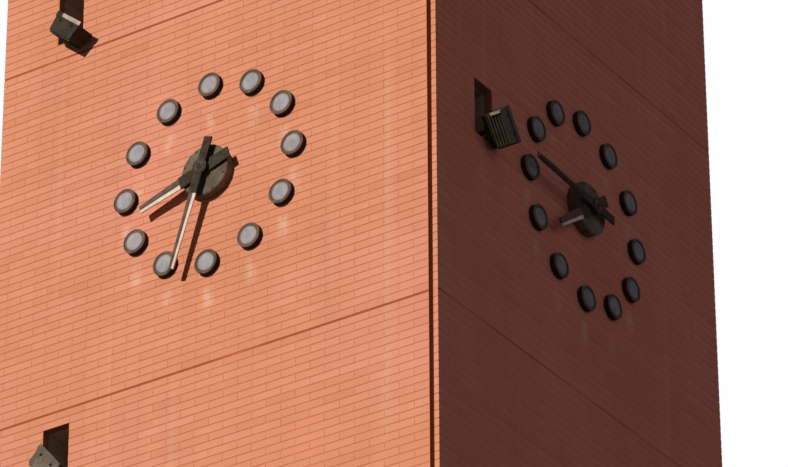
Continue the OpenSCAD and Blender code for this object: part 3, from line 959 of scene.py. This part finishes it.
def make_hand_fittings():
    """Screws on the carriers, a collar on each boss and a six-sided nut before the minute hand."""
    for kind in ("minute", "hour"):
        foot = WALL_PLANE - CARRIER_FRONT[kind] + SEAT
        screws = []
        for along in CARRIER_SCREWS:
            for side in (-1, 1):
                place = (side * SCREW_SPREAD[kind], foot, CLOCK_HEIGHT + along)
                screws.append(dome_head("screw", 0.0055, 0.0034, place))
        for along in TAIL_SCREWS:
            screws.append(dome_head("screw", 0.0070, 0.0040, (0, foot, CLOCK_HEIGHT + along)))
        screws = joined(screws, "screws")
        if kind == "minute":
            nut = bevelled(boss_ring("nut", 0.031, 0.013, kind, 0.0055, 6), 0.002, 2, 30)
            washer = bevelled(boss_ring("washer", 0.040, 0.004, kind, 0.0010), 0.001, 1)
            fittings = joined([screws, nut, washer], "fittings")
        else:
            collar = bevelled(boss_ring("collar", 0.032, 0.008, kind, 0.0030), 0.0015)
            fittings = joined([screws, collar], "fittings")
        for turns, side in enumerate(FACES):
            piece = copy_of(fittings, f"{side}_{kind}_fittings")
            turned_on_dial(piece, HAND_ANGLES[kind][turns])
            dress(turned_to_face(piece, turns), f"{side}_{kind}_hand", FIXING)
        bpy.data.objects.remove(fittings)


def at_slot(piece, lamp):
    """Moves a lamp's piece to its slot. It is drawn with its beam along X, the lamp's long side along
    Z and its arm along -Y, as on a wall in the plane of X and Z."""
    height, rise, along, across = lamp
    arm = Matrix.Translation((SLOT_ACROSS, WALL_PLANE, height - SLOT_HEIGHT / 2 + ARM_RISE))
    lift = Matrix.Rotation(math.radians(-rise), 4, "Y")
    piece.matrix_world = arm @ lift @ Matrix.Translation((along, 0, across))
    return settle(piece)


def make_visor_strip():
    """A strip of bare sheet folded round the edge of a lamp's visor."""
    tip = LAMP_FRONT + VISOR_REACH
    low = (LAMP_FRONT - 0.004, -LAMP_END - VISOR_SKIN, -LAMP_HALF - VISOR_SKIN)
    visor = block("visor", low, (tip, 0.0046 - LAMP_END, LAMP_HALF - 0.066))
    extrude_faces(visor, along_beam, (0.0016, 0, 0))
    extrude_faces(visor, lambda side: side.normal.y > 0.9 and side.calc_center_median().x > tip,
                  (0, 0.009, 0))
    return bevelled(visor, 0.0006, 1)


def make_frame_screws():
    screws = []
    for out in (LAMP_START + 0.008, LAMP_END - 0.008):
        for up in (-0.132, 0.132):
            head = round_bar("frame_screw", 0.0045, 0.004, (LAMP_FRONT + 0.001, -out, up), 8, "X")
            screws.append(inset_faces(head, along_beam, (0.0014, 0.0008)))
    return joined(screws, "screws")


def make_clips():
    """Two clips on the end of a lamp's housing, each a knob and a hasp."""
    clips = []
    for up in (-0.070, 0.070):
        knob = round_bar("knob", 0.0095, 0.0058, (0.034, -HOUSING_END - 0.0028, up), 20)
        clips.append(smoothed(bevelled(knob, 0.0012), 40))
        hasp = block("hasp", (0.026, -HOUSING_END - 0.0032, up - 0.007),
                     (0.0495, 0.001 - HOUSING_END, up + 0.007))
        clips.append(bevelled(hasp, 0.0008, 1))
    return joined(clips, "clips")


def make_lamp_fittings():
    """Glass, frame screws and clips for every floodlight, and on the upper one of each face a trim of
    bare sheet: along its visor on the front and back, and over its fins' upper end on the sides."""
    glass = block("glass", (LAMP_FRONT - 0.0095, 0.0165 - LAMP_END, -0.1235),
                  (LAMP_FRONT - 0.0045, -LAMP_START - 0.0165, 0.1235))
    inset_faces(glass, along_beam, (0.004, 0.0010), (0.030, 0.0020))
    smoothed(glass, 20)
    visor = make_visor_strip()
    screws = make_frame_screws()
    clips = make_clips()
    cap = bevelled(block("cap", (-0.0805, -0.190, 0.104), (-0.0600, -0.112, 0.1245)), 0.001, 1)
    for turns, side in enumerate(FACES):
        lamps = SIDE_LAMPS if turns % 2 else FRONT_LAMPS
        trim = cap if turns % 2 else visor
        for source, kind, material, count in ((glass, "glass", GLASS, 2), (trim, "trims", BRIGHT, 1),
                                              (screws, "screws", FIXING, 2), (clips, "clips", CLIP, 2)):
            pieces = [at_slot(copy_of(source, "copy"), lamp) for lamp in lamps[-count:]]
            piece = turned_to_face(joined(pieces, f"{side}_lamp_{kind}"), turns)
            dress(piece, "tower", material)
    for source in (glass, visor, cap, screws, clips):
        bpy.data.objects.remove(source)


def make_door_panels(leaf):
    """Two pressed panels and three hinges on a leaf whose outer side stands at the given depth."""
    panels = []
    for foot, head in ((0.36, 1.06), (1.34, 2.10)):
        panel = block("panel", (-0.30, leaf - 0.006, foot), (0.30, leaf + 0.002, head))
        inset_faces(panel, out_of_wall, (0.020, 0.0), (0.012, -0.004))
        panels.append(bevelled(panel, 0.002, 2, 60))
    for low in (0.45, 1.18, 1.90):
        hinge = round_bar("hinge", 0.009, 0.11, (0.4135, leaf - 0.007, low), 16, "Z")
        panels.append(bevelled(hinge, 0.002, 1, 60))
    return joined(panels, "back_door_panels")


def make_door_fittings():
    """Lintel, threshold, pressed panels, kick plate, hinges and lock plate of the service door."""
    leaf = WALL_PLANE + DOOR_SET
    half = DOOR_HALF - 0.001
    lintel = block("lintel", (-LINTEL_HALF, WALL_PLANE - 0.007, DOOR_HEAD),
                   (LINTEL_HALF, WALL_PLANE + 0.004, DOOR_HEAD + LINTEL_HEIGHT))
    bevelled(lintel, 0.003)
    threshold = block("threshold", (-half, WALL_PLANE - 0.004, DOOR_FOOT - 0.004),
                      (half, leaf - 0.004, DOOR_FOOT + 0.006))
    bevelled(threshold, 0.002)
    panels = make_door_panels(leaf)
    kick = block("kick", (-0.385, leaf - 0.002, 0.17), (0.385, leaf + 0.001, 0.31))
    bevelled(kick, 0.001, 1)
    lock = round_bar("lock", 0.024, 0.008, (-0.352, leaf - 0.003, 1.095), 28)
    bevelled(lock, 0.002)
    plates = joined([kick, lock], "back_door_plates")
    for piece, name, slot, material in ((lintel, "back_door_lintel", "concrete", CONCRETE),
                                        (threshold, "back_door_threshold", "lamp_metal", FIXING),
                                        (panels, "back_door_panels", "lamp_metal", DOOR),
                                        (plates, "back_door_plates", "lamp_metal", BRIGHT)):
        piece.name = name
        dress(turned_to_face(piece, 2), "tower", material)


def dress_solids():
    """Gives every CAD node its finish."""
    plain = {"brick": WALL, "concrete": CONCRETE, "zinc": DRUM, "hub_metal": HUB,
             "lamp_metal": LAMP}
    special = {"coping": COPING, "roof_slab": ROOF, "door_leaf": DOOR, "door_frame": DOOR}
    slots = {part["node"]: part["material_slot"] for part in frame["record"]["subparts"]}
    for name, node in frame["nodes"].items():
        if name.endswith("_hand"):
            side, kind, _ = name.split("_")
            turns = FACES.index(side)
            degrees = HAND_ANGLES[kind][turns]
            material = hand_metal(name + "_metal", kind, turns, degrees, name == HAND_IN_PAINTED_SHADE)
        else:
            material = special.get(name) or plain[slots[name]]
        node.data.materials.clear()
        node.data.materials.append(material)


def make_camera():
    data = bpy.data.cameras.new("camera")
    data.lens = CAMERA_LENS
    data.sensor_width = SENSOR_WIDTH
    data.clip_end = CAMERA_REACH
    camera = bpy.data.objects.new("camera", data)
    bpy.context.scene.collection.objects.link(camera)
    turn = Matrix.Rotation(math.radians(CAMERA_TURN), 4, "Z")
    rise = Matrix.Rotation(math.radians(90 + CAMERA_RISE), 4, "X")
    roll = Matrix.Rotation(math.radians(CAMERA_ROLL), 4, "Z")
    camera.matrix_world = Matrix.Translation(CAMERA_PLACE) @ turn @ rise @ roll
    bpy.context.scene.camera = camera


def make_sun(name, towards, energy, angle, tint):
    data = bpy.data.lights.new(name, "SUN")
    data.energy = energy
    data.color = tint
    data.angle = math.radians(angle)
    sun = bpy.data.objects.new(name, data)
    bpy.context.scene.collection.objects.link(sun)
    sun.rotation_mode = "QUATERNION"
    sun.rotation_quaternion = Vector(towards).to_track_quat("Z", "Y")


def seen_directly(tree):
    """1 where a ray comes from the camera, a reflection or a pane, and 0 for light on the object."""
    path = tree.nodes.new("ShaderNodeLightPath")
    total = path.outputs["Is Camera Ray"]
    for name in ("Is Glossy Ray", "Is Transmission Ray"):
        add = tree.nodes.new("ShaderNodeMath")
        add.operation = "MAXIMUM"
        tree.links.new(total, add.inputs[0])
        tree.links.new(path.outputs[name], add.inputs[1])
        total = add.outputs[0]
    return total


def make_world():
    world = bpy.data.worlds.new("world")
    bpy.context.scene.world = world
    world.use_nodes = True
    tree = world.node_tree
    background = tree.nodes["Background"]
    background.inputs["Color"].default_value = (1.0, 1.0, 1.0, 1)
    strength = tree.nodes.new("ShaderNodeMapRange")
    strength.inputs["To Min"].default_value = SKY_LIGHT
    strength.inputs["To Max"].default_value = 1.0
    tree.links.new(seen_directly(tree), strength.inputs["Value"])
    tree.links.new(strength.outputs[0], background.inputs["Strength"])


def make_floor():
    """A pale floor, which throws only a little light back up at the walls."""
    clear_selection()
    bpy.ops.mesh.primitive_plane_add(size=FLOOR_SIZE)
    floor = bpy.context.object
    floor.name = "floor"
    material = bpy.data.materials.new("pale_floor")
    material.use_nodes = True
    tree = material.node_tree
    mix = tree.nodes.new("ShaderNodeMix")
    mix.data_type = "RGBA"
    mix.inputs[6].default_value = FLOOR_LIT
    mix.inputs[7].default_value = FLOOR_SEEN
    tree.links.new(seen_directly(tree), mix.inputs[0])
    shader = tree.nodes["Principled BSDF"]
    tree.links.new(mix.outputs[2], shader.inputs["Base Color"])
    shader.inputs["Roughness"].default_value = 1.0
    floor.data.materials.append(material)


make_camera()
dress_solids()
lay_facing()
lay_corner_strips()
run_sealant()
lay_parapet_lining()
make_mark_faces()
make_hub_fittings()
make_hand_fittings()
make_lamp_fittings()
make_door_fittings()
for values in SUNS:
    make_sun(*values)
make_world()
make_floor()
bpy.context.scene.view_settings.view_transform = "Standard"
